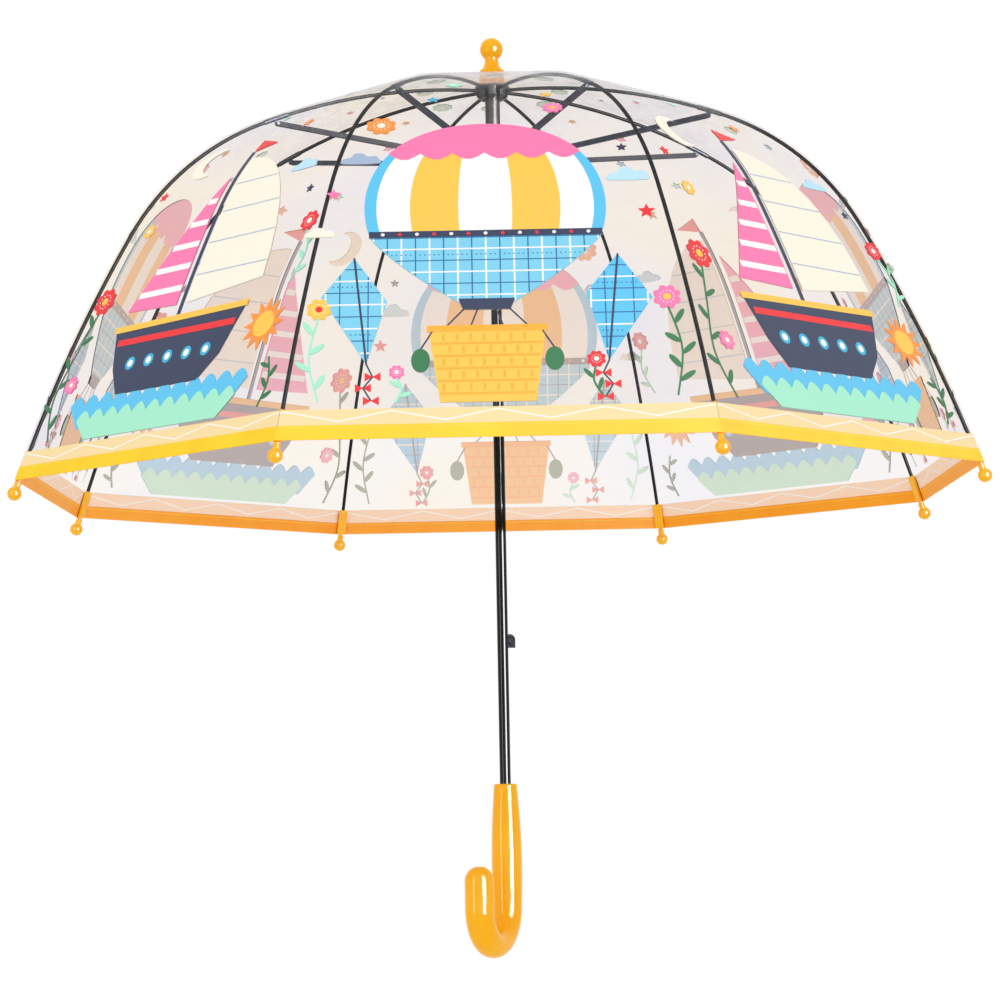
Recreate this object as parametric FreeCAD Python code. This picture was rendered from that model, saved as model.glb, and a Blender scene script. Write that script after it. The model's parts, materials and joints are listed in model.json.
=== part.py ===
import FreeCAD, Part
import os
from math import acos, atan2, cos, degrees, hypot, pi, radians, sin, sqrt, tan

# Children's dome umbrella, open. Millimetres, +Z up along the shaft.
# The origin is on the shaft axis at the middle of the hand grip.
# Each rib sector is drawn at azimuth 0 (along +X) and then turned into place.

# Dome
rib_count = 8
crown_height = 554.6           # rib pivots above the origin
crown_pivot_radius = 8.0
rib_start_slope = 1.0          # degrees below level, at the crown
crown_bend_radius = 450.0      # nearly flat crown
crown_turn = 22.7              # degrees turned along each bend
shoulder_bend_radius = 206.0
shoulder_turn = 36.9
skirt_bend_radius = 1130.0     # nearly straight skirt down to the hem
skirt_turn = 9.8
rib_wire_radius = 1.35
film_thickness = 0.3
film_clearance = 0.2           # between the film and whatever it lies on
tape_height = 9.5
tape_leaf = 0.25               # the tape is folded round the film, one leaf each side
tape_gap = 0.05
sleeve_wall = 0.4              # clips and tip sockets wrapped round the rib wire

# Rib eye and crown wire
crown_wire_radius = 0.6
eye_radius = 1.9
eye_thickness = 1.6
eye_clearance = 0.12

# Crown notch, washer and stop sleeve
notch_radius = 11.5
notch_floor = 6.0              # from the rib pivots down to the notch's underside
notch_slot_clearance = 0.35
washer_radius = 13.0
washer_thickness = 1.0
stop_sleeve_radius = 5.5
stop_gap = 0.3

# Finial
finial_height = 37.0
finial_base_radius = 10.0
finial_rim_radius = 9.0
finial_base_height = 12.0
finial_neck_radius = 5.2
finial_ball_radius = 8.65
finial_socket_depth = 15.0

# Shaft
shaft_radius = 4.0
shaft_wall = 0.7

# Rib clips, rivets and stretchers
clip_distance = 166.0          # along the rib from the crown pivot to the clip
clip_length = 19.0
tongue_thickness = 1.5
ear_radius = 1.7
ear_clearance = 0.3
rivet_radius = 0.6
rivet_head_radius = 1.2
rivet_head_height = 0.5
rivet_clearance = 0.1
channel_width = 3.4
channel_wall = 0.5
fork_length = 4.0              # open end of the channel, round the tongue

# Runner
runner_drop = 53.6             # from the rib pivots down to the runner's pivots
runner_pivot_radius = 12.5
runner_wire_radius = 0.55
ring_height = 5.0
ring_lip = 3.2                 # ring outside the pivot circle
ring_hub_radius = 8.0
ring_slot_clearance = 0.5
runner_length = 62.0
runner_sleeve_radius = 6.4
runner_clearance = 0.25
runner_flare_radius = 7.5      # finger bead at the runner's lower end
runner_flare_height = 5.0

# Catches
catch_azimuth = 22.5
catch_thickness = 2.0
catch_height = 10.0
catch_foot_height = 15.0
catch_foot_thickness = 0.6
catch_clearance = 0.3
upper_catch_reach = 1.5        # beyond the shaft's surface
lower_catch_reach = 5.2
lower_catch_height = 144.0

# Rib tips
tip_socket_length = 22.0
tip_wing_width = 7.0
tip_wing_corner = 2.6          # rounding of the wing's upper corners
tip_wing_thickness = 1.8
tip_neck_radius = 2.35
tip_ball_radius = 4.85
tip_length = 14.0              # beyond the hem
tip_shoulder = 0.8             # from the hem to the neck

# Handle
handle_top = 40.0
collar_radius = 8.5
collar_lip = 3.0
grip_radius = 11.0
grip_belly_height = -12.0
hook_tube_radius = 10.4
hook_bend_radius = 26.0
hook_bend_height = -47.6
hook_rise = 19.5
shaft_socket_depth = 38.0

# Folding
closed_angle = 46.0            # degrees that each rib swings down

half_gore = pi / rib_count
sleeve_radius = rib_wire_radius + sleeve_wall
tape_half = film_thickness / 2 + tape_gap + tape_leaf
film_distance = sleeve_radius + film_clearance + tape_half
ridge_offset = film_distance / cos(half_gore)
rib_bends = [
    (crown_bend_radius, radians(crown_turn)),
    (shoulder_bend_radius, radians(shoulder_turn)),
    (skirt_bend_radius, radians(skirt_turn)),
]
rib_length = sum(radius * turn for radius, turn in rib_bends)

vector = FreeCAD.Vector
up = vector(0, 0, 1)
along_y = vector(0, 1, 0)
centre = vector(0, 0, 0)


def rib_point(distance, offset=0.0):
    """Point of the rib's line, in its XZ plane, with the slope there, offset outwards."""
    x, z = crown_pivot_radius, crown_height
    slope = radians(rib_start_slope)
    left = distance
    for index, (radius, turn) in enumerate(rib_bends):
        last = index == len(rib_bends) - 1
        part = left / radius if last else min(turn, left / radius)
        x += radius * (sin(slope + part) - sin(slope))
        z += radius * (cos(slope + part) - cos(slope))
        slope += part
        left -= part * radius
        if left <= 1e-9:
            break
    return x + offset * sin(slope), z + offset * cos(slope), slope


def rib_vector(distance, offset=0.0):
    x, z, slope = rib_point(distance, offset)
    return vector(x, 0, z)


def swept_along_rib(make_section, start, end):
    """Sweep a section along the rib from one distance to another, one piece per bend."""
    pieces = []
    bend_start = 0.0
    for radius, turn in rib_bends:
        low = max(start, bend_start)
        high = min(end, bend_start + radius * turn)
        if high - low > 1e-6:
            x, z, slope = rib_point(low)
            section = make_section(vector(x, 0, z), vector(cos(slope), 0, -sin(slope)))
            bend_centre = vector(x - radius * sin(slope), 0, z - radius * cos(slope))
            pieces.append(section.revolve(bend_centre, along_y, degrees((high - low) / radius)))
        bend_start += radius * turn
    return fuse_all(pieces)


def disc(place, direction, radius):
    return Part.Face(Part.Wire(Part.makeCircle(radius, place, direction)))


def fuse_all(pieces):
    solid = pieces[0]
    if len(pieces) > 1:
        solid = pieces[0].multiFuse(pieces[1:]).removeSplitter()
    return solid.Solids[0] if len(solid.Solids) == 1 else solid


def cylinder_y(radius, width, place):
    """Cylinder along Y, centred on a point."""
    return Part.makeCylinder(radius, width, place - along_y * (width / 2), along_y)


def centred_box(length, width, low, high, x_start=0.0):
    return Part.makeBox(length, width, high - low, vector(x_start, -width / 2, low))


def turned(shape, degrees_about_z):
    copy = shape.copy()
    copy.rotate(centre, up, degrees_about_z)
    return copy


def tilted(shape, slope, place):
    """Turn a shape drawn along +X down by a slope, then move it to a point."""
    copy = shape.copy()
    copy.rotate(centre, along_y, degrees(slope))
    copy.translate(place)
    return copy


def rib_azimuth(index):
    return 360.0 / rib_count * index - 90.0


def polygon_face(points):
    return Part.Face(Part.makePolygon(list(points) + [points[0]]))


def smooth_edge(points):
    curve = Part.BSplineCurve()
    curve.interpolate(points)
    return curve.toShape()


def revolved(points):
    """Solid of revolution about Z from an outline of (radius, height) points."""
    outline = [vector(radius, 0, height) for radius, height in points]
    return polygon_face(outline).revolve(centre, up, 360)


# Linkage -------------------------------------------------------------------

joint_drop = sleeve_radius + ear_clearance + ear_radius
crown_pivot = vector(crown_pivot_radius, 0, crown_height)
clip_pivot = rib_vector(clip_distance, -joint_drop)
runner_height = crown_height - runner_drop
runner_pivot = vector(runner_pivot_radius, 0, runner_height)
stretcher_length = (clip_pivot - runner_pivot).Length
stretcher_slope = atan2(clip_pivot.z - runner_pivot.z, clip_pivot.x - runner_pivot.x)


def linkage_at(angle):
    """Runner travel and stretcher turn (relative to the rib) that close the linkage."""
    arm = clip_pivot - crown_pivot
    x = crown_pivot.x + arm.x * cos(angle) + arm.z * sin(angle)
    z = crown_pivot.z - arm.x * sin(angle) + arm.z * cos(angle)
    reach = x - runner_pivot_radius
    slope = acos(reach / stretcher_length)
    travel = runner_height - (z - stretcher_length * sin(slope))
    return travel, stretcher_slope - slope - angle


# Crown -----------------------------------------------------------------------

notch_top = crown_height + ridge_offset - film_thickness / 2 - film_clearance
slot_width = 2 * (rib_wire_radius + notch_slot_clearance)
slot_floor = crown_pivot_radius - eye_radius - notch_slot_clearance
washer_height = crown_height + ridge_offset + film_thickness / 2 + film_clearance
finial_bottom = washer_height + washer_thickness
shaft_top = finial_bottom + finial_socket_depth
crown_wire_ring = Part.makeTorus(crown_pivot_radius, crown_wire_radius, vector(0, 0, crown_height))


def make_crown_notch():
    bottom = crown_height - notch_floor
    chamfer = notch_floor / 3
    body = revolved([
        (shaft_radius, bottom),
        (notch_radius - chamfer, bottom),
        (notch_radius, bottom + chamfer),
        (notch_radius, notch_top),
        (shaft_radius, notch_top),
    ])
    slot = centred_box(notch_radius, slot_width, bottom, notch_top, slot_floor)
    slots = [turned(slot, rib_azimuth(index)) for index in range(rib_count)]
    return body.cut(slots).cut(crown_wire_ring)


def make_canopy_washer():
    return revolved([
        (shaft_radius, washer_height),
        (washer_radius, washer_height),
        (washer_radius - washer_thickness, washer_height + washer_thickness),
        (shaft_radius, washer_height + washer_thickness),
    ])


def make_finial():
    """Turned knob: a flared base, a concave neck and a ball, bored for the shaft."""
    ball_height = finial_bottom + finial_height - finial_ball_radius
    rim_height = finial_bottom + finial_base_height
    neck_height = ball_height - sqrt(finial_ball_radius ** 2 - finial_neck_radius ** 2)
    base = Part.makeCone(finial_base_radius, finial_rim_radius, finial_base_height, vector(0, 0, finial_bottom))
    rim = vector(finial_rim_radius, 0, rim_height)
    neck = vector(finial_neck_radius, 0, neck_height)
    hollow = vector(
        finial_neck_radius + 0.15 * (finial_rim_radius - finial_neck_radius), 0,
        rim_height + 0.45 * (neck_height - rim_height))
    waist = Part.Arc(rim, hollow, neck).toShape()
    outline = Part.Wire([
        Part.makeLine(vector(0, 0, rim_height), rim),
        waist,
        Part.makeLine(neck, vector(0, 0, neck_height)),
        Part.makeLine(vector(0, 0, neck_height), vector(0, 0, rim_height)),
    ])
    stem = Part.Face(outline).revolve(centre, up, 360)
    ball = Part.makeSphere(finial_ball_radius, vector(0, 0, ball_height))
    bore = Part.makeCylinder(shaft_radius, finial_socket_depth, vector(0, 0, finial_bottom))
    return fuse_all([base, stem, ball]).cut(bore)


# Shaft, stop sleeve and catches ------------------------------------------------

shaft_bottom = handle_top - shaft_socket_depth
runner_top = runner_height + ring_height / 2
runner_bottom = runner_top - runner_length
upper_catch_height = runner_bottom - catch_clearance - catch_height / 2
catch_foot_face = sqrt((shaft_radius - shaft_wall) ** 2 - (catch_thickness / 2) ** 2) - catch_clearance


def make_shaft():
    length = shaft_top - shaft_bottom
    tube = Part.makeCylinder(shaft_radius, length, vector(0, 0, shaft_bottom))
    tube = tube.cut(Part.makeCylinder(shaft_radius - shaft_wall, length, vector(0, 0, shaft_bottom)))
    for height in (upper_catch_height, lower_catch_height):
        half = catch_height / 2 + catch_clearance
        window = centred_box(2 * shaft_radius, catch_thickness + 2 * catch_clearance, height - half, height + half)
        tube = tube.cut(turned(window, catch_azimuth))
    return tube


def make_stop_sleeve():
    top = crown_height - notch_floor
    bottom = runner_top + stop_gap
    sleeve = Part.makeCylinder(stop_sleeve_radius, top - bottom, vector(0, 0, bottom))
    return sleeve.cut(Part.makeCylinder(shaft_radius, top - bottom, vector(0, 0, bottom)))


def make_catch(height, reach):
    """Flat catch: a rounded nose through the shaft's window and a taller foot inside."""
    nose_radius = min(reach, catch_height / 2) * 0.8
    tip = shaft_radius + reach
    half = catch_height / 2
    outline = Part.Wire([
        Part.makeLine(vector(catch_foot_face, 0, -half), vector(tip, 0, -half)),
        Part.makeLine(vector(tip, 0, -half), vector(tip, 0, half - nose_radius)),
        Part.Arc(
            vector(tip, 0, half - nose_radius),
            vector(tip - nose_radius * (1 - cos(pi / 4)), 0, half - nose_radius * (1 - sin(pi / 4))),
            vector(tip - nose_radius, 0, half)).toShape(),
        Part.makeLine(vector(tip - nose_radius, 0, half), vector(catch_foot_face, 0, half)),
        Part.makeLine(vector(catch_foot_face, 0, half), vector(catch_foot_face, 0, -half)),
    ])
    nose = Part.Face(outline).extrude(along_y * catch_thickness)
    nose.translate(vector(0, -catch_thickness / 2, height))
    foot_half = catch_foot_height / 2
    foot = centred_box(
        catch_foot_thickness, catch_thickness, height - foot_half, height + foot_half,
        catch_foot_face - catch_foot_thickness)
    return turned(fuse_all([nose, foot]), catch_azimuth)


# Runner ------------------------------------------------------------------------

ring_slot_width = channel_width + 2 * ring_slot_clearance
runner_wire_ring = Part.makeTorus(runner_pivot_radius, runner_wire_radius, vector(0, 0, runner_height))


def ring_slots():
    slot = centred_box(2 * runner_pivot_radius, ring_slot_width, runner_top - 2 * ring_height, runner_top + 1, ring_hub_radius)
    return [turned(slot, rib_azimuth(index)) for index in range(rib_count)]


def make_runner():
    """Sliding sleeve with a slotted ring for the stretchers and a keyway past the catch."""
    ring_radius = runner_pivot_radius + ring_lip
    ring_bottom = runner_top - ring_height
    flare_top = runner_bottom + runner_flare_height
    taper = ring_hub_radius - runner_sleeve_radius
    outside = revolved([
        (0, runner_bottom),
        (runner_flare_radius, runner_bottom),
        (runner_flare_radius, flare_top - (runner_flare_radius - runner_sleeve_radius)),
        (runner_sleeve_radius, flare_top),
        (runner_sleeve_radius, ring_bottom - 2 * taper),
        (ring_hub_radius, ring_bottom),
        (ring_radius, ring_bottom),
        (ring_radius, runner_top),
        (0, runner_top),
    ])
    bore_radius = shaft_radius + runner_clearance
    bore = Part.makeCylinder(bore_radius, runner_length, vector(0, 0, runner_bottom))
    keyway = centred_box(
        shaft_radius + upper_catch_reach + catch_clearance,
        catch_thickness + 2 * catch_clearance, runner_bottom, runner_top)
    return outside.cut([bore, turned(keyway, catch_azimuth)]).cut(ring_slots()).cut(runner_wire_ring)


def make_runner_wire():
    return runner_wire_ring.cut(ring_slots())


# Ribs ----------------------------------------------------------------------------

socket_start = rib_length - tip_socket_length
wire_end = rib_length - tip_shoulder


def make_rib():
    """Spring wire bent to the dome, ending in a flat eye round the crown wire."""
    neck = eye_radius * 0.6
    wire = swept_along_rib(lambda place, way: disc(place, way, rib_wire_radius), neck, wire_end)
    eye = cylinder_y(eye_radius, eye_thickness, crown_pivot)
    bore = cylinder_y(crown_wire_radius + eye_clearance, slot_width, crown_pivot)
    return fuse_all([wire, eye]).cut(bore)


def make_rib_clip():
    """Crimped clip with a tongue, and the rivet that carries the stretcher."""
    start = clip_distance - clip_length / 2
    end = clip_distance + clip_length / 2
    sleeve = swept_along_rib(lambda place, way: disc(place, way, sleeve_radius), start, end)
    bore = swept_along_rib(lambda place, way: disc(place, way, rib_wire_radius), start - 1, end + 1)
    x, z, slope = rib_point(clip_distance)
    tab = centred_box(2 * ear_radius, tongue_thickness, -joint_drop, 0, -ear_radius)
    tab = tilted(tab, slope, vector(x, 0, z))
    tip = cylinder_y(ear_radius, tongue_thickness, clip_pivot)
    hole = cylinder_y(rivet_radius, tongue_thickness, clip_pivot)
    clip = fuse_all([sleeve, tab, tip]).cut([bore, hole])
    pin_length = channel_width + 2 * rivet_clearance
    pin = cylinder_y(rivet_radius, pin_length + 2 * rivet_head_height, clip_pivot)
    rivet = [pin]
    for side in (-1, 1):
        place = clip_pivot + along_y * (side * (pin_length + rivet_head_height) / 2)
        rivet.append(cylinder_y(rivet_head_radius, rivet_head_height, place))
    return Part.makeCompound([clip.Solids[0], fuse_all(rivet)])


def make_rib_tip():
    """Moulded tip: a winged socket on the wire inside the hem, a neck and a ball."""
    x, z, slope = rib_point(rib_length)
    socket = Part.makeCylinder(
        sleeve_radius, tip_socket_length + tip_shoulder, vector(-tip_socket_length, 0, 0), vector(1, 0, 0))
    wing = Part.makeBox(
        tip_socket_length - tip_shoulder, tip_wing_width, tip_wing_thickness,
        vector(-tip_socket_length, -tip_wing_width / 2, -tip_wing_thickness))
    top_corners = [
        edge for edge in wing.Edges
        if abs(edge.tangentAt(edge.FirstParameter).z) > 0.9 and edge.CenterOfMass.x < -tip_socket_length + 0.1]
    wing = wing.makeFillet(tip_wing_corner, top_corners)
    ball_place = tip_length - tip_ball_radius
    neck = Part.makeCylinder(tip_neck_radius, ball_place - tip_shoulder, vector(tip_shoulder, 0, 0), vector(1, 0, 0))
    ball = Part.makeSphere(tip_ball_radius, vector(ball_place, 0, 0))
    tip = tilted(fuse_all([socket, wing, neck, ball]), slope, vector(x, 0, z))
    bore = swept_along_rib(lambda place, way: disc(place, way, rib_wire_radius), socket_start - 2, wire_end)
    return tip.cut(bore)


def make_stretcher():
    """Pressed U channel, open towards the rib, with a forked eye at each end."""
    length = stretcher_length
    bar = Part.makeBox(length, channel_width, 2 * ear_radius, vector(0, -channel_width / 2, -ear_radius))
    ends = [cylinder_y(ear_radius, channel_width, vector(x, 0, 0)) for x in (0, length)]
    inside = channel_width - 2 * channel_wall
    trough = Part.makeBox(
        length + 2 * ear_radius, inside, 2 * ear_radius,
        vector(-ear_radius, -inside / 2, channel_wall - ear_radius))
    forks = []
    for x in (-ear_radius, length - fork_length):
        forks.append(Part.makeBox(
            fork_length + ear_radius, inside, 2 * ear_radius, vector(x, -inside / 2, -ear_radius)))
    holes = [cylinder_y(rivet_radius + rivet_clearance, channel_width, vector(x, 0, 0)) for x in (0, length)]
    channel = fuse_all([bar] + ends).cut([trough] + forks + holes)
    return tilted(channel, -stretcher_slope, runner_pivot)


# Canopy ---------------------------------------------------------------------------

hem_overhang = tape_gap + tape_leaf


def gore_line(start, end, offset, points_per_bend=5):
    """Points of the mid-gore profile: the ridge line narrowed, as each gore is flat across."""
    marks = [start]
    bend_start = 0.0
    for radius, turn in rib_bends:
        for step in range(1, points_per_bend + 1):
            marks.append(bend_start + radius * turn * step / points_per_bend)
        bend_start += radius * turn
    inside = [mark for mark in marks if start <= mark < end - 1e-6] + [end]
    line = []
    for mark in inside:
        x, z, slope = rib_point(mark, ridge_offset)
        lean = atan2(sin(slope), cos(slope) * cos(half_gore))
        line.append(vector(x * cos(half_gore) + offset * sin(lean), 0, z + offset * cos(lean)))
    return line


def gore_pair(outline_face):
    """Two flat-lateral half gores that meet along the rib, cut at the mid-gore planes."""
    reach = rib_point(rib_length)[0] * 1.2
    low = outline_face.BoundBox.ZMin - 1
    height = outline_face.BoundBox.ZMax + 1 - low
    width = reach * tan(half_gore)
    band = outline_face.extrude(along_y * -width)
    wedge = polygon_face([vector(0, 0, low), vector(reach, 0, low), vector(reach, -width, low)])
    half = band.common(wedge.extrude(up * height))
    half.rotate(centre, up, degrees(half_gore))
    other = half.mirror(centre, along_y)
    return fuse_all([half, other])


def make_canopy_panel():
    half = film_thickness / 2
    end = rib_length
    inner_edge = shaft_radius + film_clearance - crown_pivot_radius
    outer = gore_line(0, end, half)
    inner = gore_line(0, end, -half)
    lead = vector(inner_edge * cos(half_gore), 0, 0)
    outline = Part.Face(Part.Wire([
        Part.makeLine(outer[0] + lead, outer[0]),
        smooth_edge(outer),
        Part.makeLine(outer[-1], inner[-1]),
        smooth_edge(inner[::-1]),
        Part.makeLine(inner[0], inner[0] + lead),
        Part.makeLine(inner[0] + lead, outer[0] + lead),
    ]))
    hole = Part.makeCylinder(shaft_radius + film_clearance, 2 * ridge_offset + 1, vector(0, 0, crown_height - 1))
    return gore_pair(outline).cut(hole)


def make_hem_tape():
    """Binding tape folded round the film's lower edge."""
    half = film_thickness / 2 + tape_gap
    top = rib_length - tape_height
    outer = gore_line(top, rib_length + hem_overhang, tape_half)
    inner = gore_line(top, rib_length + hem_overhang, -tape_half)
    pocket_outer = gore_line(top, rib_length + tape_gap, half)
    pocket_inner = gore_line(top, rib_length + tape_gap, -half)
    outline = outer + inner[::-1] + pocket_inner + pocket_outer[::-1]
    return gore_pair(polygon_face(outline))


# Handle -----------------------------------------------------------------------------

def make_handle():
    """Crook handle: a collar, a swelling grip, a half-round hook and a domed end."""
    collar_height = handle_top - collar_lip
    grip = smooth_edge([
        vector(collar_radius, 0, collar_height),
        vector(grip_radius, 0, grip_belly_height),
        vector(hook_tube_radius, 0, hook_bend_height),
    ])
    outline = Part.Wire([
        Part.makeLine(vector(0, 0, hook_bend_height), vector(0, 0, handle_top)),
        Part.makeLine(vector(0, 0, handle_top), vector(collar_radius - collar_lip / 3, 0, handle_top)),
        Part.makeLine(
            vector(collar_radius - collar_lip / 3, 0, handle_top),
            vector(collar_radius, 0, handle_top - collar_lip / 3)),
        Part.makeLine(
            vector(collar_radius, 0, handle_top - collar_lip / 3),
            vector(collar_radius, 0, collar_height)),
        grip,
        Part.makeLine(vector(hook_tube_radius, 0, hook_bend_height), vector(0, 0, hook_bend_height)),
    ])
    stem = Part.Face(outline).revolve(centre, up, 360)
    bend_centre = vector(0, -hook_bend_radius, hook_bend_height)
    section = disc(vector(0, 0, hook_bend_height), vector(0, 0, -1), hook_tube_radius)
    bend = section.revolve(bend_centre, vector(-1, 0, 0), 180)
    end_place = vector(0, -2 * hook_bend_radius, hook_bend_height)
    rise = Part.makeCylinder(hook_tube_radius, hook_rise, end_place)
    dome = Part.makeSphere(hook_tube_radius, end_place + up * hook_rise)
    bore = Part.makeCylinder(shaft_radius, shaft_socket_depth, vector(0, 0, shaft_bottom))
    return fuse_all([stem, bend, rise, dome]).cut(bore)


# Export -------------------------------------------------------------------------------

def export(name, shape):
    if not shape.isValid():
        print("not valid:", name)
    box = shape.BoundBox
    print(f"{name:18s} solids {len(shape.Solids)} volume {shape.Volume:10.2f} "
          f"z {box.ZMin:8.2f} to {box.ZMax:8.2f} reach {max(box.XMax, box.YMax, -box.XMin, -box.YMin):7.2f}")
    shape.exportStep(f"parts/{name}.step")


os.makedirs("parts", exist_ok=True)

export("handle", make_handle())
export("shaft", make_shaft())
export("stop_sleeve", make_stop_sleeve())
export("crown_notch", make_crown_notch())
export("crown_wire", crown_wire_ring)
export("canopy_washer", make_canopy_washer())
export("finial", make_finial())
export("runner", make_runner())
export("runner_wire", make_runner_wire())
export("upper_catch", make_catch(upper_catch_height, upper_catch_reach))
export("lower_catch", make_catch(lower_catch_height, lower_catch_reach))

sector = {
    "rib": make_rib(),
    "rib_clip": make_rib_clip(),
    "rib_tip": make_rib_tip(),
    "stretcher": make_stretcher(),
    "canopy_panel": make_canopy_panel(),
    "hem_tape": make_hem_tape(),
}
for index in range(rib_count):
    for name, shape in sector.items():
        export(f"{name}_{index + 1}", turned(shape, rib_azimuth(index)))

travel, stretcher_turn = linkage_at(radians(closed_angle))
hem_radius, hem_height, hem_slope = rib_point(rib_length, ridge_offset)
print("clip pivot", round(clip_pivot.x, 4), round(clip_pivot.z, 4))
print("runner pivot", runner_pivot_radius, round(runner_height, 4))
print("runner travel", round(travel, 4), "stretcher turn", round(degrees(stretcher_turn), 4))
print("catches at", round(upper_catch_height, 3), lower_catch_height)
print("hem radius", round(hem_radius, 2), "height", round(hem_height, 2), "slope", round(degrees(hem_slope), 2))
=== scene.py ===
import bpy
import bmesh
import json
import math
from mathutils import Matrix, Vector


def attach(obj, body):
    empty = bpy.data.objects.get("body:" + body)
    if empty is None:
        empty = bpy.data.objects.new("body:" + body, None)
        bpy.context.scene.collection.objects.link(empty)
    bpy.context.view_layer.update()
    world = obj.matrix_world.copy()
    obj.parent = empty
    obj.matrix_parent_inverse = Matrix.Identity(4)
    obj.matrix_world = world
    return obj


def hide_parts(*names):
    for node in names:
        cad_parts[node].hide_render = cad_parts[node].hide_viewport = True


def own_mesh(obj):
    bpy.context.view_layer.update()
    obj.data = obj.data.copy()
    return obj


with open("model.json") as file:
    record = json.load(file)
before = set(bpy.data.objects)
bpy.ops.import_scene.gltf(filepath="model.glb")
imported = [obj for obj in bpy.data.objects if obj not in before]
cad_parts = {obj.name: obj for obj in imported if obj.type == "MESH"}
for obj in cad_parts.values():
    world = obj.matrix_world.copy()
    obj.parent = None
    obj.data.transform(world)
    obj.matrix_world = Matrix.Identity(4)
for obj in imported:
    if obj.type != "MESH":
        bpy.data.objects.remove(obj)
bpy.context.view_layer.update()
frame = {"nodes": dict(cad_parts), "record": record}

millimetre = 0.001
joints = {joint["name"]: joint for joint in frame["record"]["behaviour"]["joints"]}
ribHinge = joints["rib_hinge_1"]
print("frame loaded:", len(frame["nodes"]), "nodes")

# the dome, as the ribs are bent: (radius, degrees turned) from the crown to the hem
dome = {
    "ribCount": 8,
    "crownPivot": (-ribHinge["pos_m"][1], ribHinge["pos_m"][2]),
    "startSlope": 1.0,
    "bends": ((0.450, 22.7), (0.206, 36.9), (1.130, 9.8)),
    "ridgeOffset": 2.6 * millimetre,      # film above the rib wire's centre
    "closedAngle": ribHinge["range_deg"][1],
    "rows": 70,
    "rowsPerBand": 5,                     # rows in each band of film
    "foldAt": 1.06,                       # where on a band its share is taken, 1 being its hem side
    "leastShare": 0.03,
    "columns": 8,
    "washerTuck": 2.5 * millimetre,       # film under the washer
}
bandCount = dome["rows"] // dome["rowsPerBand"]
halfGore = math.pi / dome["ribCount"]
ribLength = sum(radius * math.radians(turn) for radius, turn in dome["bends"])
rowLength = ribLength / dome["rows"]


def linear(hexColour):
    values = [int(hexColour[i:i + 2], 16) / 255 for i in (1, 3, 5)]
    return [v / 12.92 if v <= 0.04045 else ((v + 0.055) / 1.055) ** 2.4 for v in values] + [1.0]


def mixed(colourA, colourB, share):
    return [a + (b - a) * share for a, b in zip(colourA, colourB)]


def addNode(tree, kind, settings=None, links=None):
    # settings are node properties or input values, links are input name to output socket
    node = tree.nodes.new(kind)
    for name, value in (settings or {}).items():
        if isinstance(name, int) or name in node.inputs:
            node.inputs[name].default_value = value
        else:
            setattr(node, name, value)
    for name, socket in (links or {}).items():
        tree.links.new(socket, node.inputs[name])
    return node


def newMaterial(name, settings):
    material = bpy.data.materials.new(name)
    material.use_nodes = True
    tree = material.node_tree
    shader = tree.nodes["Principled BSDF"]
    for socket, value in settings.items():
        shader.inputs[socket].default_value = value
    return material, tree, shader


def setRamp(node, stops):
    ramp = node.color_ramp
    while len(ramp.elements) < len(stops):
        ramp.elements.new(0.5)
    for element, (place, colour) in zip(ramp.elements, stops):
        element.position = place
        element.color = linear(colour)
    return node


def addPattern(tree, shader, size, detail, stops=None, strength=0, depth=0):
    # noise on the piece's own coordinates, size in metres, as the finish's colour, its relief or both
    place = addNode(tree, "ShaderNodeTexCoord")
    noise = addNode(
        tree, "ShaderNodeTexNoise", {"Scale": 1 / size, "Detail": detail}, {"Vector": place.outputs["Object"]})
    if stops:
        tint = setRamp(addNode(tree, "ShaderNodeValToRGB", links={"Fac": noise.outputs["Fac"]}), stops)
        tree.links.new(tint.outputs["Color"], shader.inputs["Base Color"])
    if strength:
        bump = addNode(
            tree, "ShaderNodeBump", {"Strength": strength, "Distance": depth}, {"Height": noise.outputs["Fac"]})
        tree.links.new(bump.outputs["Normal"], shader.inputs["Normal"])
    return noise


def ribPoint(distance, offset=dome["ridgeOffset"]):
    # radius, height and slope of the ridge, that far along the rib from the crown
    x, z = dome["crownPivot"]
    slope = math.radians(dome["startSlope"])
    left = distance
    for index, (radius, turn) in enumerate(dome["bends"]):
        part = left / radius
        if index < len(dome["bends"]) - 1:
            part = min(part, math.radians(turn))
        x += radius * (math.sin(slope + part) - math.sin(slope))
        z += radius * (math.cos(slope + part) - math.cos(slope))
        slope += part
        left -= part * radius
        if abs(left) < 1e-9:
            break
    return x + offset * math.sin(slope), z + offset * math.cos(slope), slope


def ribAzimuth(index):
    return 2 * math.pi / dome["ribCount"] * index - math.pi / 2


def goreAxes(gore):
    # outward and rightward directions of a gore, seen from outside
    middle = ribAzimuth(gore) + halfGore
    outward = Vector((math.cos(middle), math.sin(middle), 0))
    return outward, Vector((-math.sin(middle), math.cos(middle), 0))


def goreLean(slope):
    return math.atan2(math.sin(slope), math.cos(slope) * math.cos(halfGore))


def halfWidth(distance):
    return ribPoint(distance)[0] * math.sin(halfGore)


def gorePoint(gore, across, distance, lift=0.0):
    # a gore is bent one way only: flat across, curved from crown to hem
    outward, right = goreAxes(gore)
    radius, height, slope = ribPoint(distance)
    lean = goreLean(slope)
    reach = radius * math.cos(halfGore) + lift * math.sin(lean)
    return outward * reach + right * across + Vector((0, 0, height + lift * math.cos(lean)))


def goreNormal(gore, distance):
    lean = goreLean(ribPoint(distance)[2])
    return goreAxes(gore)[0] * math.sin(lean) + Vector((0, 0, math.cos(lean)))


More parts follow.
